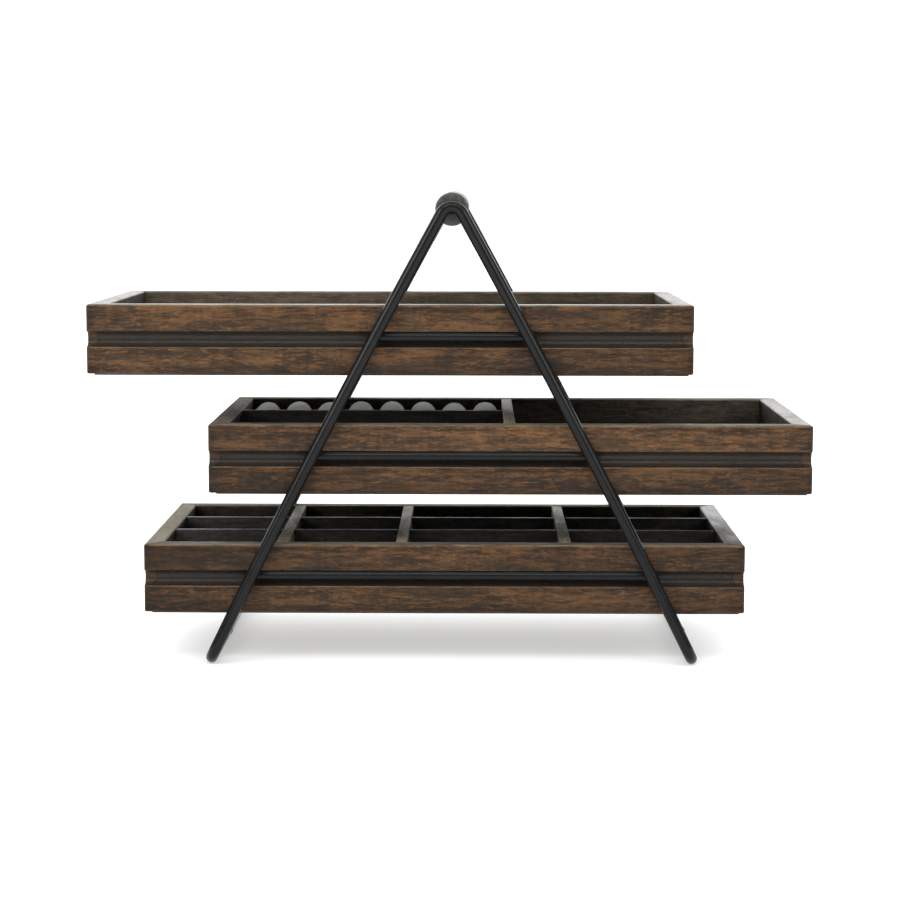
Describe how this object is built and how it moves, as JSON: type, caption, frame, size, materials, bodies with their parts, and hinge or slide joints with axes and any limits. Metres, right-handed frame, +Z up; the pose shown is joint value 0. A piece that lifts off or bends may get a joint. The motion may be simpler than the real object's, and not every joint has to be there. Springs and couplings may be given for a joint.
{
  "type": "tiered sliding tray stand",
  "caption": "Desktop organiser: a bent-rod steel A-frame with a wooden carrying handle holds shallow wooden trays on rails, and each tray slides sideways.",
  "frame": {"origin": "on the standing surface, below the middle of the whole stand", "axes": "+X along the trays, the way they slide; +Y from the front to the rear; +Z up"},
  "size_m": [0.3836, 0.1716, 0.2512],
  "materials": {
    "black_steel": "satin black powder coat",
    "rail_steel": "satin black powder coat, rubbed where the trays slide",
    "stained_wood": "dark walnut stain, satin lacquer, worn edges",
    "dowel_wood": "near-black stain, satin lacquer",
    "divider_wood": "dark stain, satin",
    "panel_board": "dark stained thin board",
    "black_felt": "black felt",
    "grey_felt": "grey brushed felt over foam"
  },
  "bodies": {
    "frame": {"bottom_front_rail": "rail_steel", "bottom_rear_rail": "rail_steel", "front_frame_rod": "black_steel", "handle_core_rod": "black_steel", "handle_dowel": "dowel_wood", "middle_front_rail": "rail_steel", "middle_rear_rail": "rail_steel", "rear_frame_rod": "black_steel", "top_front_rail": "rail_steel", "top_rear_rail": "rail_steel"},
    "top_tray": {"top_back_board": "stained_wood", "top_bottom_panel": "panel_board", "top_felt_liner": "black_felt", "top_front_board": "stained_wood", "top_left_side": "stained_wood", "top_right_side": "stained_wood"},
    "middle_tray": {"middle_back_board": "stained_wood", "middle_bottom_panel": "panel_board", "middle_cross_divider": "divider_wood", "middle_felt_liner": "black_felt", "middle_front_board": "stained_wood", "middle_left_side": "stained_wood", "middle_long_divider": "divider_wood", "middle_right_side": "stained_wood", "middle_ring_pad": "grey_felt"},
    "bottom_tray": {"bottom_back_board": "stained_wood", "bottom_bottom_panel": "panel_board", "bottom_cross_divider_1": "divider_wood", "bottom_cross_divider_2": "divider_wood", "bottom_cross_divider_3": "divider_wood", "bottom_felt_liner": "black_felt", "bottom_front_board": "stained_wood", "bottom_left_side": "stained_wood", "bottom_long_divider_1": "divider_wood", "bottom_long_divider_2": "divider_wood", "bottom_right_side": "stained_wood"}
  },
  "joints": [
    {"name": "top_tray_slide", "type": "slide", "parent": "frame", "child": "top_tray", "axis": [1, 0, 0], "range_m": [-0.0844, 0.1496]},
    {"name": "middle_tray_slide", "type": "slide", "parent": "frame", "child": "middle_tray", "axis": [1, 0, 0], "range_m": [-0.115, 0.053]},
    {"name": "bottom_tray_slide", "type": "slide", "parent": "frame", "child": "bottom_tray", "axis": [1, 0, 0], "range_m": [-0.0471, 0.0549]}
  ]
}
